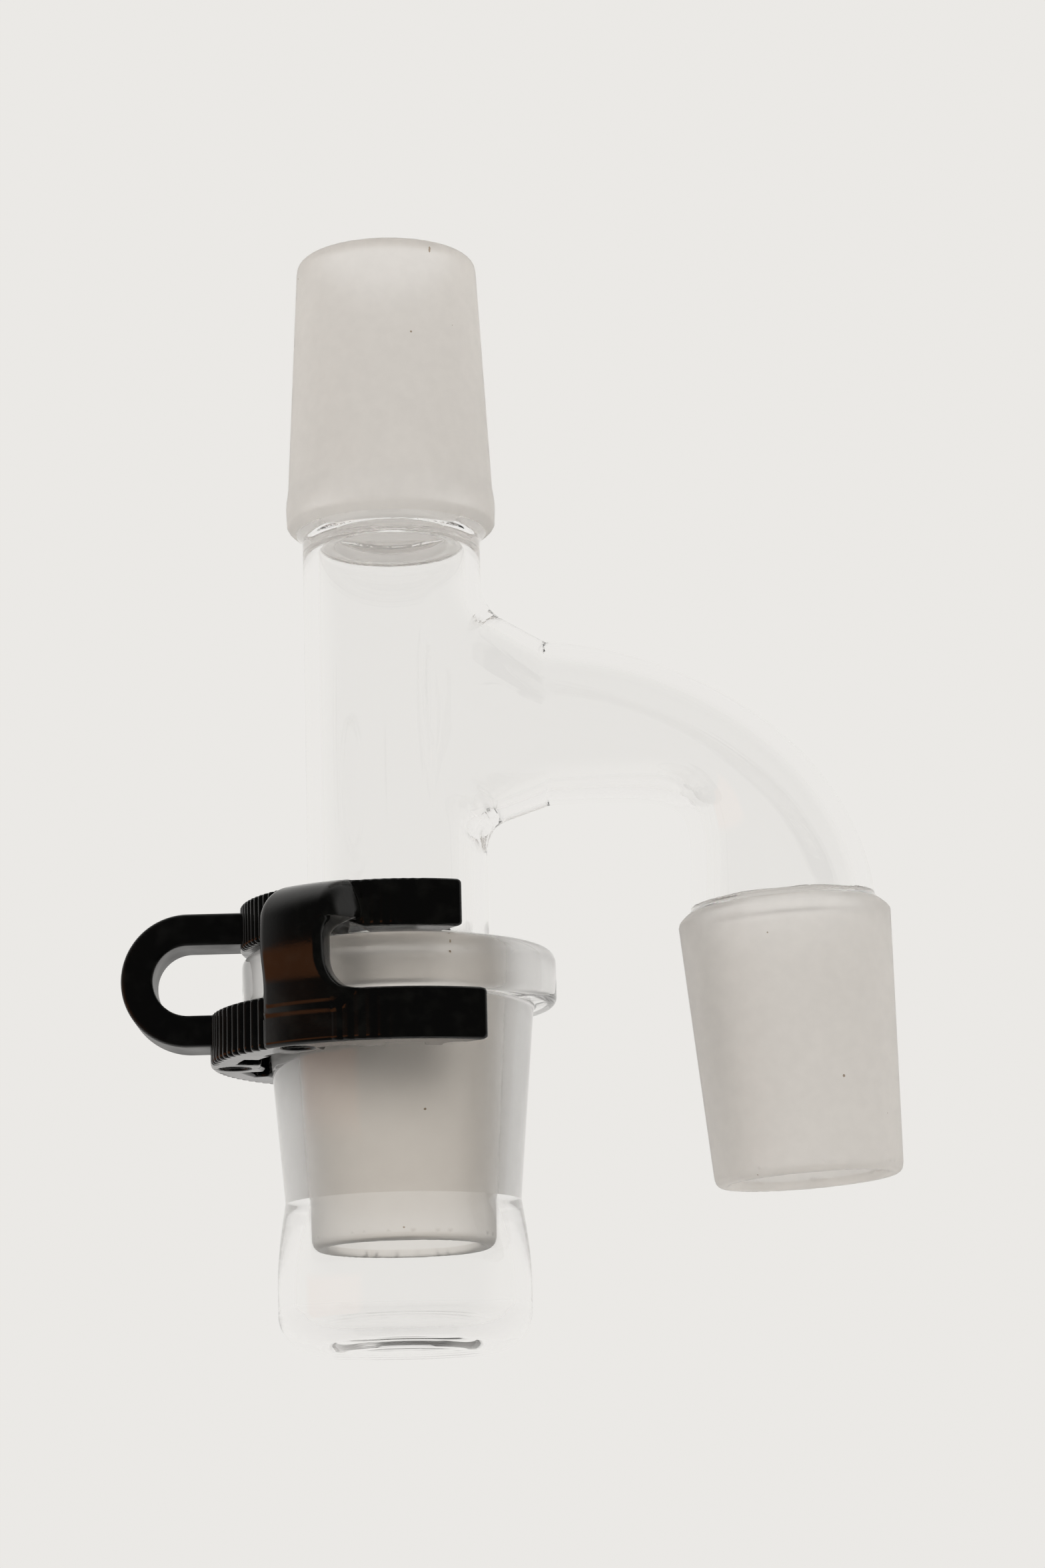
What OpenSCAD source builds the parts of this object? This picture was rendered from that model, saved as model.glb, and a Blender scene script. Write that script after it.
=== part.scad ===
// Receiver adapter in clear laboratory glass: a straight body with a ground cone at each end, a side arm that
// bends down into a third ground cone, and a small receiver cup held on the lower cone by a push-on joint clip.
// Origin: centre of the cup's flat base. +Z up, +X towards the side arm. Lengths are millimetres.

/* [Ground joints] */
// Diameter of every ground joint at its wide end
joint_d = 18.8; // [16:0.1:22]
// Diameter lost for each millimetre along a ground joint
joint_taper = 0.1; // [0.05:0.01:0.14]
// Ground length of the top cone
top_cone_len = 24.7; // [20:0.1:30]
// Ground length of the side cone
side_cone_len = 23.2; // [18:0.1:26]
// Radial gap that stands for the grease film between cone and socket
grease_gap = 0.05; // [0.02:0.01:0.1]
// Wall of the ground cones
cone_wall = 1.5; // [1.2:0.1:2]

/* [Body] */
// Outer diameter of the body tube
tube_d = 16; // [15:0.1:16.6]
// Wall of the body tube and of the side arm
tube_wall = 1.4; // [1:0.1:2]
// Height of the top cone's wide end above the cup base
top_cone_z = 74.4; // [72:0.1:90]
// Height of the bottom cone's tip above the cup base
tip_z = 9.2; // [7:0.1:12]

/* [Side arm] */
// Height of the side arm where it leaves the body
arm_z = 55.6; // [54:0.1:58]
// Height of the arm's section where it leaves the branch weld
arm_d = 14.6; // [13:0.1:15]
// Distance from the body axis to the side cone's wide end
arm_reach = 34.2; // [34:0.1:40]
// Height of the side cone's wide end
side_cone_z = 37.3; // [36:0.1:38]
// Lean of the side cone away from the body, in degrees
arm_splay = 3.2; // [0:0.1:4]

/* [Receiver cup] */
// Outer diameter of the cup's flange
flange_d = 27.7; // [26.5:0.1:28]
// Height of the flange's top face
flange_z = 35; // [34.8:0.1:35.2]
// Thickness of the flange
flange_t = 4.9; // [4:0.1:5]
// Outer diameter of the socket under the flange
socket_d = 23.5; // [22.5:0.1:23.6]
// Outer diameter of the socket where the clear bowl begins
socket_low_d = 20.6; // [20:0.1:22]
// Height where the ground socket ends and the clear bowl begins
bowl_top = 13.2; // [12:0.1:15]
// Widest outer diameter of the bowl
bowl_d = 22.1; // [21:0.1:24]
// Wall of the bowl
bowl_wall = 1.5; // [1.2:0.1:2]

/* [Joint clip] */
// Outer diameter of the clip's upper ring
upper_d = 28; // [26:0.1:28]
// Outer diameter of the clip's lower ring
lower_d = 33.4; // [32:0.1:34]
// Height of each ring
ring_h = 4.1; // [3.5:0.1:4.3]
// Reach of the finger loop from the body axis
loop_reach = 24.35; // [22:0.05:24.5]
// Outer height of the finger loop
loop_h = 11.8; // [10:0.1:12]
// Width of the finger loop
loop_w = 5.8; // [5:0.1:8]
// Thickness of the finger loop's band
loop_t = 2.8; // [2:0.1:3]

/* [Hidden] */
$fn = 96;

clear_glass = [0.88, 0.9, 0.89, 0.35];
ground_glass = [0.79, 0.77, 0.75, 0.85];
black_plastic = [0.05, 0.05, 0.05];

slope = joint_taper / 2;
cone_r = joint_d / 2;
tube_r = tube_d / 2;
bore_r = tube_r - tube_wall;
seal_h = 1.6;
seal_lip = 0.5;
top_lip = 1.8;
cone_top_z = top_cone_z + top_cone_len;

// The side cone's axis leans outwards and passes through the middle of its wide end.
arm_end_r = tube_r + 0.15;
across = [cos(arm_splay), sin(arm_splay)];
along = [-sin(arm_splay), cos(arm_splay)];
side_top = [arm_reach, side_cone_z];
arm_end = side_top + seal_h * along;

// The arm's outer and inner edges in the XZ plane, as cubic curves between the weld and the side cone.
weld_x = 13.7;
arm_top = arm_z + arm_d / 2;
arm_bottom = arm_z - arm_d / 2;
outer_edge = [[weld_x, arm_top], [arm_reach - 8.2, arm_top - 0.9],
              [arm_reach + 6.6, arm_z - 2.1], arm_end + arm_end_r * across];
inner_edge = [[weld_x, arm_bottom], [arm_reach - 6.7, arm_bottom + 0.4],
              [arm_reach - 8, arm_bottom + 0.3], arm_end - arm_end_r * across];
arm_sides = 32;
arm_rings = 18;

// The weld spreads from the arm's section onto the body along straight slopes.
weld_in_x = 2;
weld_rise = 0.6;
weld_fall = 0.35;
weld_depth = weld_x - weld_in_x;

socket_r = cone_r;
flange_low = flange_z - flange_t;
male_top = flange_z - 1;
shoulder_gap = 0.15;

clip_gap = 0.35;
upper_low = flange_z + clip_gap;
upper_in_r = tube_r + clip_gap;
lower_top = flange_low - clip_gap;
lower_h = ring_h + 0.4;
lower_low = lower_top - lower_h;
lower_in_r = socket_d / 2 + 0.5;
upper_r = upper_d / 2;
lower_r = lower_d / 2;
hinge_az = 35;
jaw_start = 35.4;
upper_wrap = 116;
lower_wrap = 119;
grip_wrap = 110;
upper_flare = 14;
lower_flare = 32;
strap_start = 47.5;
strap_end = 69.5;
strap_r = lower_r + 0.65;
strap_low = lower_low + 2.95;
strap_round = 3.6;
loop_mid = 32.8;

function radius_at(top_r, top, z) = top_r - slope * (top - z);
function arc(c, r, from, to, n) = [for (i = [0:n]) c + r * [cos(from + (to - from) * i / n),
                                                            sin(from + (to - from) * i / n)]];
function bezier(p, t) = pow(1 - t, 3) * p[0] + 3 * pow(1 - t, 2) * t * p[1]
                      + 3 * (1 - t) * t * t * p[2] + pow(t, 3) * p[3];

// A section through the edge points a and b, as an ellipse of half width w, made smaller by inset.
function section(a, b, w, inset) =
    let (mid = (a + b) / 2, half = (norm(a - b) / 2 - inset) * (a - b) / norm(a - b))
    [for (i = [0:arm_sides - 1])
        let (u = cos(360 * i / arm_sides), v = sin(360 * i / arm_sides))
        [mid[0] + half[0] * u, (w - inset) * v, mid[1] + half[1] * u]];

// Closed solid through a list of sections with the same number of points.
module loft(sections) {
    n = len(sections[0]);
    last = len(sections) - 1;
    sides = [for (k = [0:last - 1], i = [0:n - 1])
        let (j = (i + 1) % n)
        each [[k * n + i, k * n + j, (k + 1) * n + j], [k * n + i, (k + 1) * n + j, (k + 1) * n + i]]];
    caps = [[for (i = [n - 1:-1:0]) i], [for (i = [0:n - 1]) last * n + i]];
    polyhedron([for (s = sections) each s], concat(sides, caps), convexity = 6);
}

// Half width of the arm from the weld, at t = 0, to the side cone, at t = 1.
function arm_half_width(t) = arm_d / 2 + (arm_end_r - arm_d / 2) * t;

function arm_sections(inset, over) = [for (k = [0:arm_rings])
    let (t = (k - (k == 0 ? over : 0) + (k == arm_rings ? over : 0)) / arm_rings)
    section(bezier(outer_edge, t), bezier(inner_edge, t), arm_half_width(t), inset)];

function weld_sections(inset, over) = [for (k = [0:4])
    let (x = weld_in_x + (weld_depth + over) * k / 4,
         back = max(weld_x - x, -over),
         wide = arm_d / 2 + 0.4 * back / weld_depth)
    section([x, arm_top + weld_rise * back], [x, arm_bottom - weld_fall * back], wide, inset)];

// Ground cone with its wide end at z = 0, pointing down, and a fire-polished tip.
module cone_down(wide_r, len) {
    lip = cone_wall / 2;
    mid = wide_r - slope * (len - lip) - lip;
    rotate_extrude() polygon(concat([[wide_r, 0]], arc([mid, lip - len], lip, 0, -180, 14),
                                    [[wide_r - cone_wall, 0]]));
}

// Fused shoulder between a tube and the wide end of a cone, with a lip inside. Cone side at z = 0.
module shoulder(tube, wide_r, h, lip) {
    rotate_extrude() polygon([[wide_r, 0], [wide_r - 0.15, 0.3], [tube + 0.2, h * 0.6], [tube, h],
                              [bore_r, h], [bore_r - lip, h * 0.55], [wide_r - cone_wall, 0]]);
}

// One side of a clip ring between two angles from the back, on the front for side = -1.
module ring_part(in_r, out_r, low, h, from, to, side) {
    edge = 0.35;
    start = side < 0 ? 180 + from : 180 - to;
    rotate([0, 0, start]) rotate_extrude(angle = to - from)
        polygon([[in_r, low + edge], [in_r + edge, low], [out_r - edge, low], [out_r, low + edge],
                 [out_r, low + h - edge], [out_r - edge, low + h], [in_r + edge, low + h],
                 [in_r, low + h - edge]]);
}

// An arm of the clip, with its tip cut back so that the inner face ends at grip_wrap.
module clip_arm(in_r, out_r, low, h, wrap, flare, side) {
    difference() {
        ring_part(in_r, out_r, low, h, jaw_start, wrap, side);
        rotate([0, 0, side * (180 - grip_wrap)]) translate([in_r, 0, low - 1])
            rotate([0, 0, -side * flare])
            translate([-2, side > 0 ? -12 : 0, 0]) cube([14, 12, h + 2]);
    }
}

// Strap that joins the two arms of a jaw round the outside of the flange.
module strap(side) {
    top = upper_low + ring_h;
    back = lower_r - 3;
    swell = arc([strap_r - strap_round, top - strap_round], strap_round, 82, 0, 12);
    hollow = arc([flange_d / 2 - 0.4, lower_top + 0.4], 1.2, -90, 0, 6);
    over = arc([flange_d / 2 - 0.4, upper_low - 0.4], 1.2, 0, 90, 6);
    start = side < 0 ? 180 + strap_start : 180 - strap_end;
    color(black_plastic) difference() {
        rotate([0, 0, start]) rotate_extrude(angle = strap_end - strap_start)
            polygon(concat(swell, [[strap_r, strap_low + 0.6], [lower_r, strap_low], [back, strap_low]],
                           [[back, lower_top - 0.8]], hollow, over,
                           [[upper_r - 2, upper_low + 0.8], [upper_r - 2, top - 0.5]]));
        ring_room();
    }
}

// The space that the two rings fill, with the outside of the flange between them.
module ring_room() {
    translate([0, 0, upper_low]) cylinder(r = upper_r, h = ring_h + 1);
    translate([0, 0, lower_low - 1]) cylinder(r = lower_r, h = lower_top - lower_low + 1);
}

module finger_loop() {
    big = loop_h / 2 - 0.01;
    small = big - loop_t;
    left = -loop_reach;
    top = loop_mid + loop_h / 2;
    low = loop_mid - loop_h / 2;
    back = 12.6;
    color(black_plastic) difference() {
        rotate([90, 0, 0]) linear_extrude(height = loop_w, center = true) difference() {
            polygon(concat(arc([left + big, low + big], big, 270, 180, 12),
                           arc([left + big, top - big], big, 180, 90, 12),
                           [[-back, top], [-back, low]]));
            polygon(concat(arc([left + big, low + big], small, 270, 180, 10),
                           arc([left + big, top - big], small, 180, 90, 10),
                           [[-back + 1, top - loop_t], [-back + 1, low + loop_t]]));
        }
        ring_room();
        translate([0, 0, lower_top - 1]) cylinder(r = flange_d / 2 + 0.5, h = flange_t + 2);
    }
}

module top_cone() {
    color(ground_glass) translate([0, 0, top_cone_z]) mirror([0, 0, 1]) cone_down(cone_r, top_cone_len);
}

module top_seal() {
    color(clear_glass) translate([0, 0, top_cone_z]) mirror([0, 0, 1]) shoulder(tube_r, cone_r, seal_h, top_lip);
}

module body_tube() {
    low = flange_z + shoulder_gap;
    high = top_cone_z - seal_h;
    color(clear_glass) difference() {
        translate([0, 0, low]) cylinder(r = tube_r, h = high - low);
        translate([0, 0, low - 1]) cylinder(r = bore_r, h = high - low + 2);
        translate([0, 0, arm_z]) rotate([0, 90, 0]) cylinder(r = bore_r - 0.6, h = tube_d);
    }
}

module branch_weld() {
    color(clear_glass) difference() {
        loft(weld_sections(0, 0));
        loft(weld_sections(tube_wall, 1));
        translate([0, 0, arm_z - 20]) cylinder(r = tube_r, h = 40);
    }
}

module side_arm() {
    color(clear_glass) difference() {
        loft(arm_sections(0, 0));
        loft(arm_sections(tube_wall, 0.3));
    }
}

module arm_seal() {
    color(clear_glass) translate([side_top[0], 0, side_top[1]]) rotate([0, -arm_splay, 0])
        shoulder(arm_end_r, cone_r, seal_h, seal_lip);
}

module side_cone() {
    color(ground_glass) translate([side_top[0], 0, side_top[1]]) rotate([0, -arm_splay, 0])
        cone_down(cone_r, side_cone_len);
}

module bottom_seal() {
    color(clear_glass) translate([0, 0, male_top])
        shoulder(tube_r, radius_at(cone_r, flange_z, male_top) - grease_gap,
                 flange_z + shoulder_gap - male_top, seal_lip);
}

module bottom_cone() {
    color(ground_glass) translate([0, 0, male_top])
        cone_down(radius_at(cone_r, flange_z, male_top) - grease_gap, male_top - tip_z);
}

module cup_flange() {
    r = flange_d / 2;
    round = 1.1;
    color(ground_glass) rotate_extrude() polygon(concat(
        arc([r - round, flange_z - round], round, 90, 0, 8),
        arc([r - round + 0.3, flange_low + round - 0.3], round - 0.3, 0, -90, 6),
        [[radius_at(socket_r, flange_z, flange_low), flange_low], [socket_r, flange_z]]));
}

module cup_socket() {
    color(ground_glass) rotate_extrude() polygon([
        [socket_d / 2, flange_low], [socket_low_d / 2, bowl_top],
        [radius_at(socket_r, flange_z, bowl_top), bowl_top],
        [radius_at(socket_r, flange_z, flange_low), flange_low]]);
}

module cup_bowl() {
    r = bowl_d / 2;
    corner = 3.7;
    widest = 6;
    floor_t = 1.7;
    inner = r - bowl_wall;
    swell = [for (i = [0:8]) [socket_low_d / 2 + (r - socket_low_d / 2) * sin(90 * i / 8),
                              bowl_top + (widest - bowl_top) * i / 8]];
    throat = radius_at(socket_r, flange_z, bowl_top);
    hollow = [for (i = [8:-1:0]) [throat + (inner - throat) * sin(90 * i / 8),
                                  bowl_top + (widest - bowl_top) * i / 8]];
    color(clear_glass) rotate_extrude() polygon(concat(
        swell, arc([r - corner, corner], corner, 0, -90, 10), [[0, 0], [0, floor_t]],
        arc([inner - corner + 0.9, corner - 0.9 + floor_t], corner - 0.9, -90, 0, 8), hollow));
}

module clip_upper_back() {
    color(black_plastic) ring_part(upper_in_r, upper_r, upper_low, ring_h, -hinge_az, hinge_az, -1);
}

module clip_lower_back() {
    color(black_plastic) ring_part(lower_in_r, lower_r, lower_low, lower_h, -hinge_az, hinge_az, -1);
}

module upper_arm(side) {
    color(black_plastic) clip_arm(upper_in_r, upper_r, upper_low, ring_h, upper_wrap, upper_flare, side);
}

module lower_arm(side) {
    color(black_plastic) clip_arm(lower_in_r, lower_r, lower_low, lower_h, lower_wrap, lower_flare, side);
}

top_cone();
top_seal();
body_tube();
branch_weld();
side_arm();
arm_seal();
side_cone();
bottom_seal();
bottom_cone();
cup_flange();
cup_socket();
cup_bowl();
finger_loop();
clip_upper_back();
clip_lower_back();
upper_arm(-1);  // front_upper_arm
lower_arm(-1);  // front_lower_arm
strap(-1);  // front_strap
upper_arm(1);  // rear_upper_arm
lower_arm(1);  // rear_lower_arm
strap(1);  // rear_strap
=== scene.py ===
"""Glass side-arm adapter in a receiver cup with a black joint clip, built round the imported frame.

Lengths in the shape functions are in millimetres, in the frame's own axes. add_mesh and lathe turn
them into metres. Angles round the clip are in degrees from its back, which faces -X.
"""
import math

import bpy
import numpy as np
from mathutils import Matrix, Vector


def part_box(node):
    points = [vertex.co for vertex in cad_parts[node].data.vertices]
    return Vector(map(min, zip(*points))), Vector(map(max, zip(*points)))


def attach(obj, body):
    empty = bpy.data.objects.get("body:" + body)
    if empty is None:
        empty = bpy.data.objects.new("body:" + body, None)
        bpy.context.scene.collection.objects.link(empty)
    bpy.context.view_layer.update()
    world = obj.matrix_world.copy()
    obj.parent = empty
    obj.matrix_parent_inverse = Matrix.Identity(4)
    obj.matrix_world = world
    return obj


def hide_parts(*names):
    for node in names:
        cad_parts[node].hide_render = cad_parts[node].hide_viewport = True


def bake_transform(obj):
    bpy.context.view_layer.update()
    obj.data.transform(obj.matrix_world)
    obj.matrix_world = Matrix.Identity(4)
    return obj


MM = 0.001

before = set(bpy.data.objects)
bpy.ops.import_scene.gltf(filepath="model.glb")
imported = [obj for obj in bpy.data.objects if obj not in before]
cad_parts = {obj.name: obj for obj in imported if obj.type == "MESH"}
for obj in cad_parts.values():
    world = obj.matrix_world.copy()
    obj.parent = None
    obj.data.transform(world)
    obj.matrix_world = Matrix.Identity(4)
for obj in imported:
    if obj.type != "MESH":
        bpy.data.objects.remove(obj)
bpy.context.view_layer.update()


def span(node, axis):
    """Lowest and highest coordinate of a node along an axis, in millimetres."""
    low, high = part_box(node)
    return low[axis] / MM, high[axis] / MM


# Sizes read from the frame ------------------------------------------------------------------------

CONE_Z, TOP_TIP = span("top_cone", 2)
CONE_R = span("top_cone", 0)[1]
TOP_TUBE_Z = span("top_seal", 2)[0]
TUBE_R = span("body_tube", 0)[1]
TUBE_LOW = span("body_tube", 2)[0]
MALE_TIP, MALE_TOP = span("bottom_cone", 2)
MALE_R = span("bottom_cone", 0)[1]
SIDE_TIP, _ = span("side_cone", 2)
FLANGE_LOW, FLANGE_Z = span("cup_flange", 2)
FLANGE_R = span("cup_flange", 0)[1]
BOWL_TOP = span("cup_bowl", 2)[1]
BOWL_R = span("cup_bowl", 0)[1]
SOCKET_R = span("cup_socket", 0)[1]
UPPER_LOW, UPPER_TOP = span("front_upper_arm", 2)
LOWER_LOW, LOWER_TOP = span("front_lower_arm", 2)
LOWER_R = -span("front_lower_arm", 1)[0]
UPPER_R = -span("front_upper_arm", 1)[0]
LOOP_BACK = span("finger_loop", 0)[0]
LOOP_LOW, LOOP_TOP = span("finger_loop", 2)
LOOP_HALF_W = span("finger_loop", 1)[1]

TAPER = 0.05
CONE_WALL = 1.5
TUBE_WALL = 1.4
BORE_R = TUBE_R - TUBE_WALL
SEAL_H = CONE_Z - TOP_TUBE_Z

# The side cone hangs from the end of the arm, leaning outwards.
LEAN = math.radians(3.2)
SIDE_LEN = 23.2
SIDE_TOP = np.array((34.2, 37.3))
ACROSS = np.array((math.cos(LEAN), math.sin(LEAN)))
ALONG = np.array((-math.sin(LEAN), math.cos(LEAN)))
ARM_END = SIDE_TOP + SEAL_H * ALONG
ARM_END_R = TUBE_R + 0.15

# An x between the upright tube and the side cone.
BETWEEN_X = 20

# Edges of the arm in the XZ plane, as cubic curves from the weld to the side cone.
WELD_X = 13.7
ARM_Z = 55.6
ARM_R = 7.3
OUTER_EDGE = (
    (WELD_X, ARM_Z + ARM_R),
    (26.0, ARM_Z + 6.4),
    (40.8, ARM_Z - 2.1),
    ARM_END + ARM_END_R * ACROSS,
)
INNER_EDGE = (
    (WELD_X, ARM_Z - ARM_R),
    (27.5, ARM_Z - 6.9),
    (26.2, ARM_Z - 7.0),
    ARM_END - ARM_END_R * ACROSS,
)


# Implicit shapes: negative inside, in millimetres -------------------------------------------------

LONGEST_MOVE = 0.3
LEAST_SLOPE = 0.05
PROBE = 0.03


def smooth_min(a, b, k):
    """Lower of two values, blended where they are within k of each other."""
    h = np.maximum(k - np.abs(a - b), 0) / k
    return np.minimum(a, b) - h * h * k / 4


def smooth_max(a, b, k):
    """Higher of two values, blended in the same way."""
    return -smooth_min(-a, -b, k)


def ease(t):
    """Smooth step from 0 to 1."""
    t = np.clip(t, 0, 1)
    return t * t * (3 - 2 * t)


def box_2d(a, b, half_a, half_b, edge):
    """Rectangle centred on a = b = 0 with rounded corners."""
    qa = np.abs(a) - half_a + edge
    qb = np.abs(b) - half_b + edge
    return np.hypot(np.maximum(qa, 0), np.maximum(qb, 0)) + np.minimum(np.maximum(qa, qb), 0) - edge


def bezier(points, t):
    """Points of a cubic curve."""
    a, b, c, d = (np.array(p, float) for p in points)
    t = t[..., None]
    u = 1 - t
    return u ** 3 * a + 3 * u * u * t * b + 3 * u * t * t * c + t ** 3 * d


def surface_net(field, axes, place=None, relax=0):
    """Closed quad mesh of field = 0 over a grid. Gives vertices, quads and outward normals.

    relax is how many times the points are evened out along the surface.
    """
    place = place or (lambda a, b, c: (a, b, c))
    value = field(*place(*np.meshgrid(*axes, indexing="ij")))
    inside = value < 0
    shape = tuple(n - 1 for n in value.shape)
    cells = int(np.prod(shape))
    total = np.zeros((3, cells))
    count = np.zeros(cells)
    quads = []
    for axis in range(3):
        lower = tuple(slice(None, -1) if i == axis else slice(None) for i in range(3))
        upper = tuple(slice(1, None) if i == axis else slice(None) for i in range(3))
        edge = np.argwhere(inside[lower] != inside[upper])
        far = edge + np.eye(3, dtype=int)[axis]
        v0 = value[tuple(edge.T)]
        v1 = value[tuple(far.T)]
        cross = np.array([axes[i][edge[:, i]] for i in range(3)])
        cross[axis] += v0 / (v0 - v1) * (axes[axis][far[:, axis]] - axes[axis][edge[:, axis]])
        ring = []
        for back in ((1, 1), (0, 1), (0, 0), (1, 0)):
            cell = edge.copy()
            cell[:, (axis + 1) % 3] -= back[0]
            cell[:, (axis + 2) % 3] -= back[1]
            flat = np.ravel_multi_index(tuple(cell.T), shape)
            ring.append(flat)
            count += np.bincount(flat, minlength=cells)
            for i in range(3):
                total[i] += np.bincount(flat, weights=cross[i], minlength=cells)
        quad = np.stack(ring, 1)
        quad[v0 > 0] = quad[v0 > 0][:, ::-1]
        quads.append(quad)
    used = np.flatnonzero(count)
    index = np.full(cells, -1)
    index[used] = np.arange(len(used))
    quads = index[np.concatenate(quads)]
    points = np.array(place(*(total[:, used] / count[used])))
    points = onto(field, points, 4)
    if relax:
        start = quads.ravel()
        end = np.roll(quads, -1, axis=1).ravel()
        links = np.bincount(start, minlength=len(used)) + np.bincount(end, minlength=len(used))
        for _ in range(relax):
            for i in range(3):
                near = np.bincount(start, points[i][end], len(used))
                near = near + np.bincount(end, points[i][start], len(used))
                points[i] = (points[i] + near / links) / 2
            points = onto(field, points, 1)
        points = onto(field, points, 1)
    normals = gradient(field, points)
    normals /= np.linalg.norm(normals, axis=0)
    a, b, c, d = (points[:, quads[:, i]] for i in range(4))
    turned = (np.cross((c - a).T, (d - b).T) * normals[:, quads[:, 0]].T).sum() < 0
    return points.T, quads[:, ::-1] if turned else quads, normals.T


def onto(field, points, rounds):
    """The points moved onto the surface."""
    for _ in range(rounds):
        slope = gradient(field, points)
        share = field(*points) / np.maximum((slope ** 2).sum(0), LEAST_SLOPE)
        points = points - np.clip(share, -LONGEST_MOVE, LONGEST_MOVE) * slope
    return points


def gradient(field, points):
    """Slope of the field at each point."""
    out = np.zeros_like(points)
    for i in range(3):
        ahead = points.copy()
        behind = points.copy()
        ahead[i] += PROBE
        behind[i] -= PROBE
        out[i] = (field(*ahead) - field(*behind)) / (2 * PROBE)
    return out


def graded(low, high, coarse, fine, zones):
    """Grid positions with a fine step inside the zones and a coarse one elsewhere."""
    at = [low]
    while at[-1] < high:
        near = any(a - 0.3 <= at[-1] <= b for a, b in zones)
        at.append(at[-1] + (fine if near else coarse))
    return np.array(at)


def add_mesh(name, points, faces, normals):
    """New object from points in millimetres, with the given normals."""
    mesh = bpy.data.meshes.new(name)
    mesh.from_pydata((np.asarray(points) * MM).tolist(), [], np.asarray(faces).tolist())
    mesh.shade_smooth()
    mesh.normals_split_custom_set_from_vertices(normals.tolist())
    return add_object(name, mesh)


def add_object(name, data):
    """New object in the scene's collection."""
    obj = bpy.data.objects.new(name, data)
    bpy.context.scene.collection.objects.link(obj)
    return obj


# The adapter --------------------------------------------------------------------------------------

THROAT_R = 4.8
THROAT_Z = CONE_Z - 1.3
FUNNEL_TOP_Z = CONE_Z + 1.6
FUNNEL_HALF_WALL = 0.7
FUNNEL_BLEND = 1.6
WELD_BLEND_OUT = 2.0
WELD_BLEND_IN = 1.4
ARM_FROM_X = 3.5
ARM_FROM_Z = 38
# A field value far outside any shape.
ABSENT = 99.0


def body_radii(z):
    """Outer and inner radius of the upright tube with its two cones."""
    top = CONE_R - TAPER * np.maximum(z - CONE_Z, 0)
    male = MALE_R - TAPER * np.maximum(MALE_TOP - z, 0)
    to_top = ease((z - TOP_TUBE_Z) / SEAL_H)
    to_male = ease((TUBE_LOW - z) / (TUBE_LOW - MALE_TOP))
    outer = TUBE_R + (top - TUBE_R) * to_top + (male - TUBE_R) * to_male
    opens = ease((z - CONE_Z - 0.4) / 2.4)
    widens = ease((TUBE_LOW - z) / 1.6)
    inner = BORE_R + (top - CONE_WALL - BORE_R) * opens + (male - CONE_WALL - BORE_R) * widens
    low_lip = 0.5 * ease(1 - np.abs(z - TUBE_LOW) / 1.2)
    return outer, inner - low_lip


def funnel_field(r, z):
    """Drawn-in end of the top cone, hanging inside the tube."""
    low = np.array((THROAT_R + FUNNEL_HALF_WALL, THROAT_Z))
    run = np.array((TUBE_R - 0.1, FUNNEL_TOP_Z)) - low
    t = np.clip(((r - low[0]) * run[0] + (z - low[1]) * run[1]) / (run @ run), 0, 1)
    return np.hypot(r - low[0] - run[0] * t, z - low[1] - run[1] * t) - FUNNEL_HALF_WALL


def side_cone_radii(h):
    """Outer and inner radius of the side cone and its seal, by height above the cone's wide end."""
    cone = CONE_R + TAPER * np.minimum(h, 0)
    outer = ARM_END_R + (cone - ARM_END_R) * (1 - ease(h / SEAL_H))
    opens = 1 - ease((h + 1.2) / 2.6)
    inner = ARM_END_R - TUBE_WALL + (cone - CONE_WALL - ARM_END_R + TUBE_WALL) * opens
    lip = 0.7 * ease(1 - np.abs(h - 0.4) / 1.2)
    return outer, inner - lip


def arm_position(x, z):
    """Share of the way along the arm of the section through each point, and the section's two ends."""
    lo = np.zeros_like(x)
    hi = np.ones_like(x)
    for _ in range(20):
        t = (lo + hi) / 2
        outer = bezier(OUTER_EDGE, t)
        inner = bezier(INNER_EDGE, t)
        ahead = (outer[..., 0] - inner[..., 0]) * (z - inner[..., 1]) \
            - (outer[..., 1] - inner[..., 1]) * (x - inner[..., 0]) < 0
        lo = np.where(ahead, t, lo)
        hi = np.where(ahead, hi, t)
    return t, outer, inner


def arm_fields(x, y, z):
    """Fields of the arm's outer face and of its bore, with the flared part behind the weld."""
    t, outer, inner = arm_position(x, z)
    across = outer - inner
    back = np.maximum(WELD_X - x, 0)
    weld = back > 0
    top = np.where(weld, ARM_Z + ARM_R + 0.6 * back, 0)
    low = np.where(weld, ARM_Z - ARM_R - 0.35 * back, 0)
    half = np.where(weld, (top - low) / 2, np.linalg.norm(across, axis=-1) / 2)
    mid = (outer + inner) / 2
    rise = ((x - mid[..., 0]) * across[..., 0] + (z - mid[..., 1]) * across[..., 1]) / (2 * half)
    rise = np.where(weld, z - (top + low) / 2, rise)
    flare = ARM_R + 0.4 * np.minimum(back / 11.7, 1)
    wide = np.where(weld, flare, ARM_R + (ARM_END_R - ARM_R) * t)
    fields = []
    for inset in (0, TUBE_WALL):
        a = half - inset
        b = wide - inset
        before = np.maximum(ARM_FROM_X - x, 0) * 2
        fields.append((np.hypot(rise / a, y / b) - 1) * np.minimum(a, b) + before)
    return fields


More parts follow.
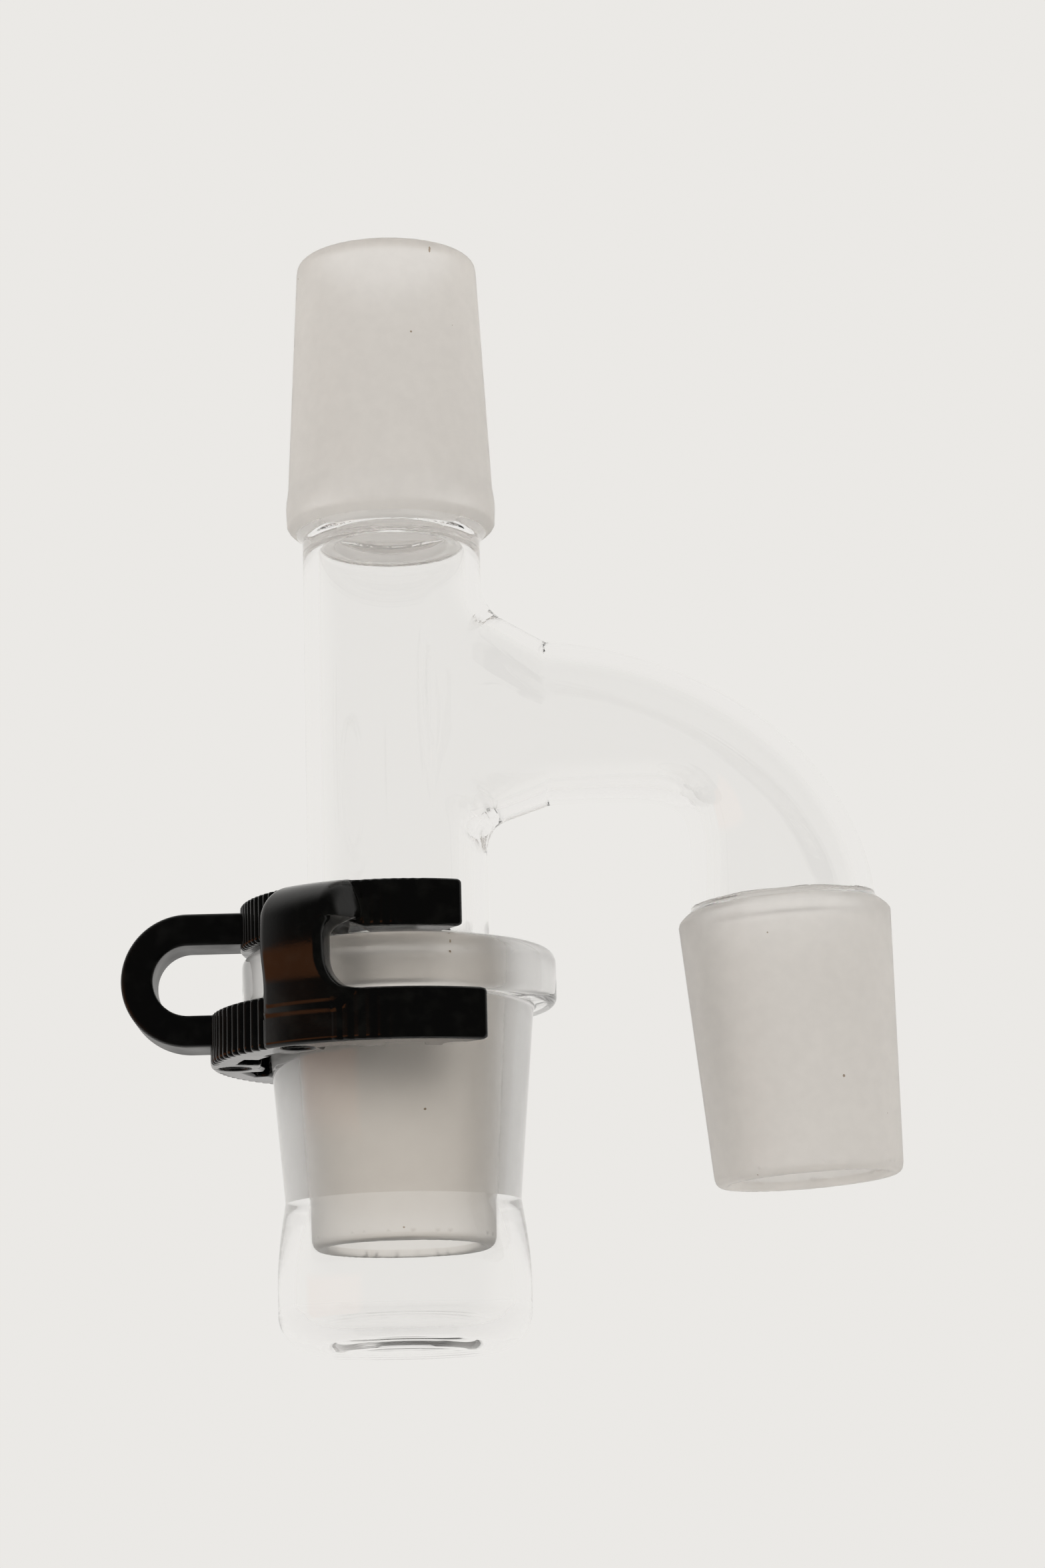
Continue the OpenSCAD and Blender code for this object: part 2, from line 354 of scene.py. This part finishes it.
def adapter_field(x, y, z):
    """The whole adapter: outer faces less the bores, with the funnel and full-round tips."""
    r = np.hypot(x, y)
    outer, inner = body_radii(z)
    arm_out = np.full_like(x, ABSENT)
    arm_in = np.full_like(x, ABSENT)
    side_x = x - SIDE_TOP[0]
    side_z = z - SIDE_TOP[1]
    height = side_x * ALONG[0] + side_z * ALONG[1]
    off = np.hypot(side_x * ACROSS[0] + side_z * ACROSS[1], y)
    hanging = (x > BETWEEN_X) & (height < SEAL_H)
    side_out, side_in = side_cone_radii(height)
    arm_out[hanging] = (off - side_out)[hanging]
    arm_in[hanging] = (off - side_in)[hanging]
    bent = ~hanging & (x > 0) & (z > ARM_FROM_Z)
    arm_out[bent], arm_in[bent] = arm_fields(x[bent], y[bent], z[bent])
    shell_out = smooth_min(r - outer, arm_out, WELD_BLEND_OUT)
    shell_in = smooth_min(r - inner, arm_in, WELD_BLEND_IN)
    value = np.maximum(shell_out, -shell_in)
    value = smooth_min(value, np.where(z > CONE_Z - 4, funnel_field(r, z), ABSENT), FUNNEL_BLEND)
    lip = CONE_WALL / 2
    for past, spread, narrow in (
            (z - TOP_TIP + lip, r, CONE_R - TAPER * (TOP_TIP - CONE_Z)),
            (np.where(x < 15, MALE_TIP + lip - z, -1), r, MALE_R - TAPER * (MALE_TOP - MALE_TIP)),
            (np.where(x > BETWEEN_X, -SIDE_LEN + lip - height, -1), off, CONE_R - TAPER * SIDE_LEN)):
        rim = np.hypot(spread - (narrow - lip), past) - lip
        value = np.where(past > 0, rim, value)
    return value


def build_adapter():
    side_z = SIDE_TOP[1]
    seals = ((CONE_Z - 4, CONE_Z + 3.5), (side_z - 2, side_z + 3), (TUBE_LOW - 2, TUBE_LOW + 1))
    tips = ((TOP_TIP - 1.5, TOP_TIP + 1), (MALE_TIP - 1, MALE_TIP + 1.2), (SIDE_TIP - 1, SIDE_TIP + 3))
    xs = graded(-CONE_R - 0.6, SIDE_TOP[0] + CONE_R + 2, 0.5, 0.5, ())
    ys = np.arange(-CONE_R - 0.6, CONE_R + 1, 0.5)
    zs = graded(MALE_TIP - 0.7, TOP_TIP + 0.7, 0.7, 0.3, seals + tips)
    return add_mesh("adapter_glass", *surface_net(adapter_field, (xs, ys, zs), relax=5))


# The cup ------------------------------------------------------------------------------------------

def arc(r, z, radius, start, end, count):
    """Points of an arc round (r, z), angles in degrees."""
    angles = np.radians(np.linspace(start, end, count))
    return [(r + radius * math.cos(a), z + radius * math.sin(a)) for a in angles]


def lathe(name, profile, sides=160):
    """Closed solid of revolution of a profile of (r, z) points, and the strip that each face is in.

    Points at r = 0 become one vertex.
    """
    points = []
    rings = []
    for r, z in profile:
        if r == 0:
            rings.append([len(points)])
            points.append((0, 0, z))
            continue
        rings.append(list(range(len(points), len(points) + sides)))
        for i in range(sides):
            a = math.tau * i / sides
            points.append((r * math.cos(a), r * math.sin(a), z))
    faces = []
    strips = []
    for k in range(len(profile)):
        one = rings[k]
        two = rings[(k + 1) % len(profile)]
        if len(one) == 1 and len(two) == 1:
            continue
        for i in range(sides):
            j = (i + 1) % sides
            quad = [two[i % len(two)], two[j % len(two)], one[j % len(one)], one[i % len(one)]]
            faces.append(list(dict.fromkeys(quad)))
            strips.append(k)
    mesh = bpy.data.meshes.new(name)
    mesh.from_pydata((np.array(points) * MM).tolist(), [], faces)
    mesh.shade_smooth()
    return add_object(name, mesh), strips


def build_cup():
    """The cup in clear glass, with its socket faces in the second material slot."""
    wall = 1.5
    widest = 6.0
    corner = 3.7
    floor_t = 1.7
    low_r = 10.3
    top_round = 1.1
    low_round = 0.8
    fillet = 0.3
    throat_r = CONE_R - TAPER * (FLANGE_Z - BOWL_TOP)
    inner_r = BOWL_R - wall
    inner_corner = corner - 0.9
    share = np.sin(np.radians(np.linspace(0, 90, 12)))
    fall = np.linspace(BOWL_TOP, widest, 12)

    outside = arc(FLANGE_R - top_round, FLANGE_Z - top_round, top_round, 90, 0, 9)
    outside += arc(FLANGE_R - low_round, FLANGE_LOW + low_round, low_round, 0, -90, 8)
    outside += arc(SOCKET_R + fillet, FLANGE_LOW - fillet, fillet, 90, 180, 5)
    outside += [(low_r + (BOWL_R - low_r) * s, z) for s, z in zip(share, fall)]
    outside += arc(BOWL_R - corner, corner, corner, 0, -90, 14)[1:]
    outside += [(5.6, 0.01), (0, 0.02)]

    inside = [(0, floor_t + 0.02), (5.0, floor_t + 0.01)]
    inside += arc(inner_r - inner_corner, inner_corner + floor_t, inner_corner, -90, 0, 10)
    inside += [(throat_r + (inner_r - throat_r) * s, z) for s, z in zip(share[::-1], fall[::-1])]
    inside += [(CONE_R - 0.02, FLANGE_Z - 0.4), (CONE_R + 0.1, FLANGE_Z - 0.1)]
    inside += [(CONE_R + 0.35, FLANGE_Z)]

    obj, strips = lathe("cup_glass", outside + inside)
    ground_from = len(outside) + len(inside) - 4
    ground_to = ground_from + 2
    for face, strip in zip(obj.data.polygons, strips):
        face.material_index = int(ground_from <= strip <= ground_to)
    return obj


# The clip -----------------------------------------------------------------------------------------

PITCH = 3.45
RIBS_FROM = 9.5
STRAP_FROM = 47.5
STRAP_TO = 69.5
RIBS_TO = 101.0
RIB_DEPTH = 0.4
UPPER_RIB_DEPTH = 0.38
FAINT_DEPTH = 0.1
STRAP_LOW = 28.2
STRAP_ROOT = 25.9
STRAP_WIDEST = 34.6
STRAP_MID_R = 13.3
STRAP_HALF_R = 4.05
STRAP_ROUND = 3.0
STRAP_IN_R = 12.4
BELLY_MOST = 0.36
LOW_FLARE = 2.9
TOP_FLARE = 1.2
ROOT_FLARE = 1.6
FLARE_FADE = 3.5
HOLLOW_R = 12.2
HOLLOW_HALF_R = 2.45
HOLLOW_HALF_H = 3.7
HOLLOW_ROUND = 1.2
UPPER_IN_R = TUBE_R + 0.35
LOWER_IN_R = 12.25
GRIP = 110.0
EDGE = 0.35
UPPER_TIP_FLARE = 14
LOWER_TIP_FLARE = 32
# Reliefs inside the lower arm: depth, first angle and last angle.
RELIEFS = ((1.45, 61, 76), (1.45, 86, 101), (1.35, 34, 44), (2.0, 10, 24), (0.8, 24, 34))
# Ejector marks under the lower arm: x, and distance from the cut at y = 0.
PITS = ((-14.6, 0), (-8.3, 12.2), (5.45, 12.1))
PIT_R = 1.45
PIT_DEPTH = 0.3
NUB_R = 0.32
NUB_AT_R = 12.3
NUB_ANGLE = 42
LOOP_FRONT = -13.0


def ribs(angle, deep):
    """Depth cut from a ring's outer face: rounded ribs with sharp valleys, faint beyond the strap."""
    wave = 1 - np.abs(np.sin(math.pi * (angle - RIBS_FROM) / PITCH))
    depth = np.where(angle < STRAP_FROM, deep, FAINT_DEPTH)
    worked = (angle > RIBS_FROM) & (angle < RIBS_TO)
    bare = (angle > STRAP_FROM + 1) & (angle < STRAP_TO + 2)
    return np.where(worked & ~bare, depth * wave, 0)


def window(angle, low, high, soft=1.0):
    """1 between two angles, with soft ends."""
    return ease((angle - low) / soft + 0.5) * ease((high - angle) / soft + 0.5)


def tip_plane(x, v, in_r, flare):
    """Distance past the end face of an arm."""
    a = math.radians(180 - GRIP)
    n = math.radians(180 - GRIP - flare - 90)
    return (x - in_r * math.cos(a)) * math.cos(n) + (v - in_r * math.sin(a)) * math.sin(n)


def ring_field(r, z, cut, in_r, out_r, low, high):
    """Ring of rectangular section, cut off at the arm's end face."""
    flat = box_2d(r - (in_r + out_r) / 2, z - (low + high) / 2,
                  (out_r - in_r) / 2, (high - low) / 2, EDGE)
    return smooth_max(flat, cut, 0.6)


def arms_field(x, v, z, r, angle):
    """Upper and lower arm, with ribs, reliefs and ejector marks."""
    arch = 1.0 * np.clip(1 - (angle - STRAP_TO + 1) / 11, 0, 1) * ease((angle - 60) / 3)
    upper = ring_field(r, z, tip_plane(x, v, UPPER_IN_R, UPPER_TIP_FLARE), UPPER_IN_R,
                       UPPER_R - ribs(angle, UPPER_RIB_DEPTH), UPPER_LOW + arch, UPPER_TOP)
    relief = sum(depth * window(angle, low, high) for depth, low, high in RELIEFS)
    lower = ring_field(r, z, tip_plane(x, v, LOWER_IN_R, LOWER_TIP_FLARE), LOWER_IN_R + relief,
                       LOWER_R - ribs(angle, RIB_DEPTH), LOWER_LOW, LOWER_TOP)
    for px, pv in PITS:
        pit = smooth_max(np.hypot(x - px, v - pv) - PIT_R, z - LOWER_LOW - PIT_DEPTH, 0.15)
        lower = smooth_max(lower, -pit, 0.15)
    return np.minimum(upper, lower)


def strap_field(z, r, angle):
    """Strap between the arms: bellied outside, flared into the arms and hollow behind."""
    gap_low = np.clip((z - LOWER_TOP) / LOW_FLARE, 0, 1)
    gap_top = np.clip((UPPER_LOW + 0.6 - z) / TOP_FLARE, 0, 1)
    low_fade = np.clip(1 - (LOWER_TOP - z) / FLARE_FADE, 0, 1)
    top_fade = np.clip(1 - (z - UPPER_LOW) / FLARE_FADE, 0, 1)
    low_flare = LOW_FLARE * (1 - np.sqrt(1 - (1 - gap_low) ** 2)) * low_fade
    top_flare = TOP_FLARE * (1 - np.sqrt(1 - (1 - gap_top) ** 2)) * top_fade
    root_flare = ROOT_FLARE * np.clip((17.2 - r) / 3, 0, 1) * ease((z - UPPER_LOW + 1) / 2)
    spread = low_flare + top_flare + root_flare
    middle = np.radians(angle - (STRAP_FROM + STRAP_TO) / 2) * r - spread / 2
    width = np.abs(middle) - np.radians(STRAP_TO - STRAP_FROM) / 2 * r - spread / 2
    drop = z - STRAP_WIDEST
    belly = np.where(drop < 0, smooth_min(drop ** 2 / 30, BELLY_MOST, 0.2), drop ** 2 / 32)
    body = box_2d(r - STRAP_MID_R + belly, z - (UPPER_TOP + STRAP_ROOT) / 2,
                  STRAP_HALF_R, (UPPER_TOP - STRAP_ROOT) / 2, STRAP_ROUND)
    hollow = box_2d(r - HOLLOW_R, z - (UPPER_LOW + LOWER_TOP) / 2,
                    HOLLOW_HALF_R, HOLLOW_HALF_H, HOLLOW_ROUND)
    bevel = (STRAP_LOW + r - LOWER_R - z) * math.sqrt(0.5)
    strap = smooth_max(smooth_max(body, -hollow, 0.4), width, 0.9)
    strap = smooth_max(strap, STRAP_IN_R - r, 0.2)
    return smooth_max(strap, bevel, 0.3)


def half_field(side):
    """Field of the front (-1) or rear (1) half of the clip, cut at y = 0."""
    def field(x, y, z):
        v = side * y
        r = np.hypot(x, v)
        angle = np.degrees(np.arctan2(v, -x))
        value = smooth_min(arms_field(x, v, z, r, angle), strap_field(z, r, angle), 0.3)
        nub_v = np.radians(angle - NUB_ANGLE) * r
        nub = np.sqrt((r - NUB_AT_R) ** 2 + nub_v ** 2 + (z - UPPER_TOP) ** 2) - NUB_R
        return np.maximum(np.minimum(value, nub), -v)
    return field


def build_half(name, side):
    """One half of the clip, on a grid of angle, radius and height with eight steps to a rib."""
    def place(angle, r, z):
        a = np.radians(angle)
        return -r * np.cos(a), side * r * np.sin(a), z

    angles = np.concatenate((np.arange(-0.9, 70, PITCH / 8), np.arange(70.2, 123, PITCH / 8)))
    radii = np.arange(UPPER_IN_R - 0.6, 18.2, 0.28)
    heights = np.arange(LOWER_LOW - 0.5, UPPER_TOP + 1.0, 0.28)
    return add_mesh(name, *surface_net(half_field(side), (angles, radii, heights), place))


def loop_field(x, y, z):
    """Finger loop: a flat band bent into a U that ends in the clip's back."""
    half_h = (LOOP_TOP - LOOP_LOW) / 2
    half_band = 1.4
    mid = (LOOP_TOP + LOOP_LOW) / 2
    centre_x = LOOP_BACK + half_h
    reach = np.where(x < centre_x, np.hypot(x - centre_x, z - mid), np.abs(z - mid))
    loop = box_2d(reach - half_h + half_band, y, half_band, LOOP_HALF_W, EDGE)
    return np.maximum(loop, x - LOOP_FRONT)


def build_loop():
    xs = np.arange(LOOP_BACK - 0.5, LOOP_FRONT + 0.5, 0.3)
    ys = np.arange(-LOOP_HALF_W - 0.45, LOOP_HALF_W + 0.6, 0.3)
    zs = np.arange(LOOP_LOW - 0.5, LOOP_TOP + 0.6, 0.3)
    return add_mesh("clip_finger_loop", *surface_net(loop_field, (xs, ys, zs), relax=3))


# Materials ----------------------------------------------------------------------------------------

GLASS_IOR = 1.474
CLEAR_TINT = (0.99, 0.99, 0.988)
# The open cones, seen straight through air.
CONE_TINT = (0.925, 0.893, 0.857)
CONE_ROUGH = 0.55
CONE_THROUGH = 0.55
# The bottom cone and its socket, which lie behind each other and behind clear glass. Their tint is
# painted light: a lighter copy of the cones' tint that makes up for the light lost in the extra layers
# of glass.
LIGHTENED_SOCKET_TINT = (0.985, 0.95, 0.91)
SOCKET_ROUGH = 0.42
SOCKET_THROUGH = 0.95
SPECK = (0.3, 0.22, 0.15)
SCRATCH = (0.35, 0.24, 0.16)
PLASTIC = (0.002, 0.002, 0.0018)
DUSTY = (0.006, 0.006, 0.005)
PLASTIC_SHINE = 0.4
GRAIN_STRENGTH = 0.25
GRAIN_DEPTH = 0.02


def new_material(name):
    """New material, its node tree and its principled shader."""
    mat = bpy.data.materials.new(name)
    mat.use_nodes = True
    return mat, mat.node_tree, mat.node_tree.nodes["Principled BSDF"]


def own_place(tree):
    """Place of the shaded point in the object's own coordinates."""
    return tree.nodes.new("ShaderNodeTexCoord").outputs["Object"]


def put(tree, socket, value):
    """Set a socket to a number or tuple, or link it to an output."""
    if isinstance(value, (int, float)):
        socket.default_value = value
    elif isinstance(value, tuple):
        socket.default_value = (*value, 1)
    else:
        tree.links.new(value, socket)


def math_node(tree, operation, *values):
    """Output of a math node. Each value is a number or an output."""
    node = tree.nodes.new("ShaderNodeMath")
    node.operation = operation
    for socket, value in zip(node.inputs, values):
        put(tree, socket, value)
    return node.outputs[0]


def noise(tree, where, scale, detail=4.0):
    """Noise through space, with scale in cells per metre."""
    node = tree.nodes.new("ShaderNodeTexNoise")
    node.inputs["Scale"].default_value = scale
    node.inputs["Detail"].default_value = detail
    put(tree, node.inputs["Vector"], where)
    return node.outputs[0]


def map_range(tree, value, low, high, out_low=0.0, out_high=1.0, kind="LINEAR"):
    """Value brought from low..high to out_low..out_high and held within it."""
    node = tree.nodes.new("ShaderNodeMapRange")
    node.interpolation_type = kind
    numbers = {"From Min": low, "From Max": high, "To Min": out_low, "To Max": out_high}
    for name, number in numbers.items():
        node.inputs[name].default_value = number
    put(tree, node.inputs["Value"], value)
    return node.outputs["Result"]


def mix_colour(tree, factor, a, b):
    """Colour a where the factor is 0 and colour b where it is 1."""
    node = tree.nodes.new("ShaderNodeMix")
    node.data_type = "RGBA"
    for name, value in (("Factor", factor), ("A", a), ("B", b)):
        put(tree, node.inputs[name], value)
    return node.outputs["Result"]


def set_glass(shader):
    shader.inputs["IOR"].default_value = GLASS_IOR
    shader.inputs["Transmission Weight"].default_value = 1


def specks(tree, where, scale, size, share, stretch):
    """1 in small uneven spots scattered through space, drawn out upright by the stretch."""
    squeeze = tree.nodes.new("ShaderNodeVectorMath")
    squeeze.operation = "MULTIPLY"
    squeeze.inputs[1].default_value = (1, 1, 1 / stretch)
    tree.links.new(where, squeeze.inputs[0])
    cells = tree.nodes.new("ShaderNodeTexVoronoi")
    cells.inputs["Scale"].default_value = scale
    tree.links.new(squeeze.outputs[0], cells.inputs["Vector"])
    pick = tree.nodes.new("ShaderNodeSeparateColor")
    tree.links.new(cells.outputs["Color"], pick.inputs[0])
    uneven = map_range(tree, noise(tree, where, scale * 6), 0.3, 0.7, 0.4, 1.6)
    reach = math_node(tree, "MULTIPLY", math_node(tree, "MULTIPLY", pick.outputs[1], size), uneven)
    spot = math_node(tree, "LESS_THAN", cells.outputs["Distance"], reach)
    return math_node(tree, "MULTIPLY", spot, math_node(tree, "LESS_THAN", pick.outputs[0], share))


def ground_colour(tree, where, tint):
    """Tint of ground glass with faint mottling, a few brown specks and short upright scratches."""
    mottle = map_range(tree, noise(tree, where, 900.0), 0.35, 0.65)
    cloud = map_range(tree, noise(tree, where, 90.0, 2.0), 0.3, 0.7)
    both = math_node(tree, "MULTIPLY_ADD", cloud, 0.5, math_node(tree, "MULTIPLY", mottle, 0.5))
    light = tuple(min(v * 1.02, 1.0) for v in tint)
    dark = tuple(v * 0.955 for v in tint)
    base = mix_colour(tree, both, dark, light)
    marked = mix_colour(tree, specks(tree, where, 500.0, 0.06, 0.35, 1.0), base, SPECK)
    return mix_colour(tree, specks(tree, where, 300.0, 0.035, 0.3, 4.0), marked, SCRATCH)


def clear_glass(name):
    mat, _, shader = new_material(name)
    set_glass(shader)
    shader.inputs["Base Color"].default_value = (*CLEAR_TINT, 1)
    shader.inputs["Roughness"].default_value = 0.0
    return mat


def ground_glass(name):
    mat, tree, shader = new_material(name)
    set_glass(shader)
    # Painted light: the socket's ground glass takes the lighter tint, to make up for the light lost
    # behind the clear cup wall.
    put(tree, shader.inputs["Base Color"], ground_colour(tree, own_place(tree), LIGHTENED_SOCKET_TINT))
    shader.inputs["Roughness"].default_value = SOCKET_ROUGH
    shader.inputs["Transmission Weight"].default_value = SOCKET_THROUGH
    return mat


def black_plastic(name, smooth, worn):
    """Black moulded plastic, its roughness varying between the two given values."""
    mat, tree, shader = new_material(name)
    where = own_place(tree)
    dust = map_range(tree, noise(tree, where, 600.0), 0.5, 0.75)
    colour = mix_colour(tree, dust, PLASTIC, DUSTY)
    put(tree, shader.inputs["Base Color"], colour)
    finish = map_range(tree, noise(tree, where, 250.0), 0.3, 0.7, smooth, worn)
    put(tree, shader.inputs["Roughness"], finish)
    shader.inputs["Specular IOR Level"].default_value = PLASTIC_SHINE
    bump = tree.nodes.new("ShaderNodeBump")
    bump.inputs["Strength"].default_value = GRAIN_STRENGTH
    bump.inputs["Distance"].default_value = GRAIN_DEPTH * MM
    put(tree, bump.inputs["Height"], noise(tree, where, 3000.0))
    put(tree, shader.inputs["Normal"], bump.outputs["Normal"])
    return mat


def cone_masks(tree, where):
    """1 on the ground zone of any cone, and 1 on that of the bottom cone, told apart by place."""
    split = tree.nodes.new("ShaderNodeSeparateXYZ")
    tree.links.new(where, split.inputs[0])
    x, y, z = split.outputs

    def calc(operation, *values):
        return math_node(tree, operation, *values)

    def radius(a, b):
        return calc("SQRT", calc("ADD", calc("MULTIPLY", a, a), calc("MULTIPLY", b, b)))

    def zone(off, depth, wide, length):
        """Outer face of a cone from just behind its wide end, and all of its tip."""
        skin = 1.1
        early = 0.9
        tip = 0.75
        outer = calc("GREATER_THAN", off, calc("MULTIPLY_ADD", depth, -TAPER, (wide - skin) * MM))
        outer = calc("MULTIPLY", outer, calc("GREATER_THAN", depth, -early * MM))
        return calc("MAXIMUM", outer, calc("GREATER_THAN", depth, (length - tip) * MM))

    upright = radius(x, y)
    top_depth = calc("SUBTRACT", z, CONE_Z * MM)
    top = zone(upright, top_depth, CONE_R, TOP_TIP - CONE_Z)
    low_depth = calc("SUBTRACT", MALE_TOP * MM, z)
    low = zone(upright, low_depth, MALE_R, MALE_TOP - MALE_TIP)
    side_x = calc("SUBTRACT", x, SIDE_TOP[0] * MM)
    side_z = calc("SUBTRACT", z, SIDE_TOP[1] * MM)
    sin = math.sin(LEAN)
    cos = math.cos(LEAN)
    depth = calc("SUBTRACT", calc("MULTIPLY", side_x, sin), calc("MULTIPLY", side_z, cos))
    across = calc("ADD", calc("MULTIPLY", side_x, cos), calc("MULTIPLY", side_z, sin))
    side = zone(radius(across, y), depth, CONE_R, SIDE_LEN)
    side = calc("MULTIPLY", side, calc("GREATER_THAN", x, BETWEEN_X * MM))
    low = calc("MULTIPLY", low, calc("LESS_THAN", x, BETWEEN_X * MM))
    return calc("MAXIMUM", calc("MAXIMUM", top, low), side), low


def adapter_glass(name):
    """Clear glass with the three cones ground."""
    mat, tree, shader = new_material(name)
    set_glass(shader)
    where = own_place(tree)
    mask, low = cone_masks(tree, where)
    cones = ground_colour(tree, where, CONE_TINT)
    # Painted light: the bottom cone takes the lighter socket tint, to make up for the light lost in the
    # cup's layers of glass.
    ground = mix_colour(tree, low, cones, ground_colour(tree, where, LIGHTENED_SOCKET_TINT))
    put(tree, shader.inputs["Base Color"], mix_colour(tree, mask, CLEAR_TINT, ground))
    rough = math_node(tree, "MULTIPLY_ADD", low, SOCKET_ROUGH - CONE_ROUGH, CONE_ROUGH)
    put(tree, shader.inputs["Roughness"], math_node(tree, "MULTIPLY", mask, rough))
    loss = math_node(tree, "MULTIPLY_ADD", low, SOCKET_THROUGH - CONE_THROUGH, CONE_THROUGH - 1)
    through = math_node(tree, "MULTIPLY_ADD", mask, loss, 1.0)
    put(tree, shader.inputs["Transmission Weight"], through)
    return mat


# Stage -------------------------------------------------------------------------------------------

PALE = (0.83, 0.815, 0.79)
# Painted reflections: the dark camera side and a warm brown patch, which the dome shows only in
# reflections.
PAINTED_DARK_REFLECTION = (0.04, 0.04, 0.04)
PAINTED_WARM_REFLECTION = (0.8, 0.3, 0.12)
PAPER = (0.98, 0.98, 0.98)
# Degrees over which the dome's painted reflections fade, counted from the camera's side, the warm
# patch's middle and straight up.
DARK_FADE = (62, 100)
PATCH_SIDE_FADE = (24, 34)
PATCH_TOP_FADE = (82.5, 86)
PATCH_LOW_FADE = (103, 108)
FLOOR_Z = -40
# In metres, unlike the sizes of the part.
FLOOR_R = 3
DOME_R = 0.9
# Fitted to the photo: place in millimetres, the rest in degrees.
CAMERA_AT = (11.31, -335.4, -19.83)
CAMERA_PITCH = 11.79
CAMERA_ROLL = -1.475


def make_camera():
    data = bpy.data.cameras.new("camera")
    data.sensor_fit = "VERTICAL"
    data.sensor_height = 24
    data.lens = 58.78
    data.clip_start = 0.01
    data.clip_end = 20
    camera = add_object("camera", data)
    pitch = math.radians(CAMERA_PITCH)
    roll = math.radians(CAMERA_ROLL)
    forward = Vector((0, math.cos(pitch), math.sin(pitch)))
    right = Vector((1, 0, 0))
    up = right.cross(forward)
    rolled_right = right * math.cos(roll) + up * math.sin(roll)
    rolled_up = up * math.cos(roll) - right * math.sin(roll)
    turn = Matrix((rolled_right, rolled_up, -forward)).transposed()
    camera.matrix_world = Matrix.Translation(Vector(CAMERA_AT) * MM) @ turn.to_4x4()
    bpy.context.scene.camera = camera


def make_world():
    world = bpy.data.worlds.new("studio")
    bpy.context.scene.world = world
    world.use_nodes = True
    back = world.node_tree.nodes["Background"]
    back.inputs["Color"].default_value = (*PALE, 1)
    back.inputs["Strength"].default_value = 1


def make_floor():
    """Plain pale floor well below the part, which hangs free."""
    middle = (0, 0, FLOOR_Z * MM)
    bpy.ops.mesh.primitive_circle_add(vertices=96, radius=FLOOR_R, fill_type="NGON", location=middle)
    floor = bpy.context.object
    floor.name = "floor"
    mat, _, shader = new_material("floor_paper")
    shader.inputs["Base Color"].default_value = (*PAPER, 1)
    shader.inputs["Roughness"].default_value = 0.9
    floor.data.materials.append(mat)
    floor.visible_glossy = False


def make_painted_reflection_dome():
    """Dome of painted reflections that only reflection rays see: dark on the camera's side, pale
    behind, with one warm patch painted as a brown reflection.
    """
    bpy.ops.mesh.primitive_uv_sphere_add(segments=48, ring_count=24, radius=DOME_R)
    reflection_dome = bpy.context.object
    reflection_dome.name = "reflection_dome"
    mat, tree, shader = new_material("painted_reflections")
    tree.nodes.remove(shader)
    glow = tree.nodes.new("ShaderNodeEmission")
    place = own_place(tree)

    def fade(towards, inner, outer):
        """0 within the inner angle of a direction, 1 beyond the outer one."""
        dot = tree.nodes.new("ShaderNodeVectorMath")
        dot.operation = "DOT_PRODUCT"
        dot.inputs[1].default_value = Vector(towards).normalized() / DOME_R
        tree.links.new(place, dot.inputs[0])
        near = math.cos(math.radians(inner))
        far = math.cos(math.radians(outer))
        return map_range(tree, dot.outputs["Value"], near, far, kind="SMOOTHSTEP")

    # Painted reflections: dark towards the camera, pale behind, and a warm brown patch.
    painted_dark_and_pale = mix_colour(tree, fade((0, -1, 0.1), *DARK_FADE), PAINTED_DARK_REFLECTION, PALE)
    beside = fade((-0.9, -0.38, 0), *PATCH_SIDE_FADE)
    above = math_node(tree, "SUBTRACT", 1.0, fade((0, 0, 1), *PATCH_TOP_FADE))
    below = fade((0, 0, 1), *PATCH_LOW_FADE)
    outside_warm_reflection = math_node(tree, "MAXIMUM", beside, math_node(tree, "MAXIMUM", above, below))
    put(tree, glow.inputs["Color"], mix_colour(tree, outside_warm_reflection, PAINTED_WARM_REFLECTION, painted_dark_and_pale))
    tree.links.new(glow.outputs[0], tree.nodes["Material Output"].inputs["Surface"])
    reflection_dome.data.materials.append(mat)
    reflection_dome.visible_camera = False
    reflection_dome.visible_transmission = False
    reflection_dome.visible_diffuse = False
    reflection_dome.visible_shadow = False


# Assembly -----------------------------------------------------------------------------------------

make_camera()
make_world()
make_floor()
make_painted_reflection_dome()

clear = clear_glass("glass_clear")
ground = ground_glass("glass_ground")
black = black_plastic("plastic_black", 0.1, 0.2)
matt_black = black_plastic("plastic_black_matt", 0.3, 0.45)

adapter = build_adapter()
adapter.data.materials.append(adapter_glass("glass_adapter"))
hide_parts("top_cone", "top_seal", "body_tube", "branch_weld", "side_arm", "arm_seal",
            "side_cone", "bottom_seal", "bottom_cone")
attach(adapter, "adapter")

cup = build_cup()
cup.data.materials.append(clear)
cup.data.materials.append(ground)
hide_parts("cup_flange", "cup_socket", "cup_bowl")
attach(cup, "cup")

loop = build_loop()
loop.data.materials.append(matt_black)
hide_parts("finger_loop", "clip_upper_back", "clip_lower_back")
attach(loop, "clip")

for side, word in ((-1, "front"), (1, "rear")):
    half = build_half("clip_" + word + "_half", side)
    half.data.materials.append(black)
    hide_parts(word + "_upper_arm", word + "_lower_arm", word + "_strap")
    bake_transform(half)

# Light needs many bounces to get through the walls of the glass.
BOUNCES = 32

scene = bpy.context.scene
scene.view_settings.view_transform = "Standard"
scene.cycles.max_bounces = BOUNCES
scene.cycles.glossy_bounces = BOUNCES
scene.cycles.transmission_bounces = BOUNCES
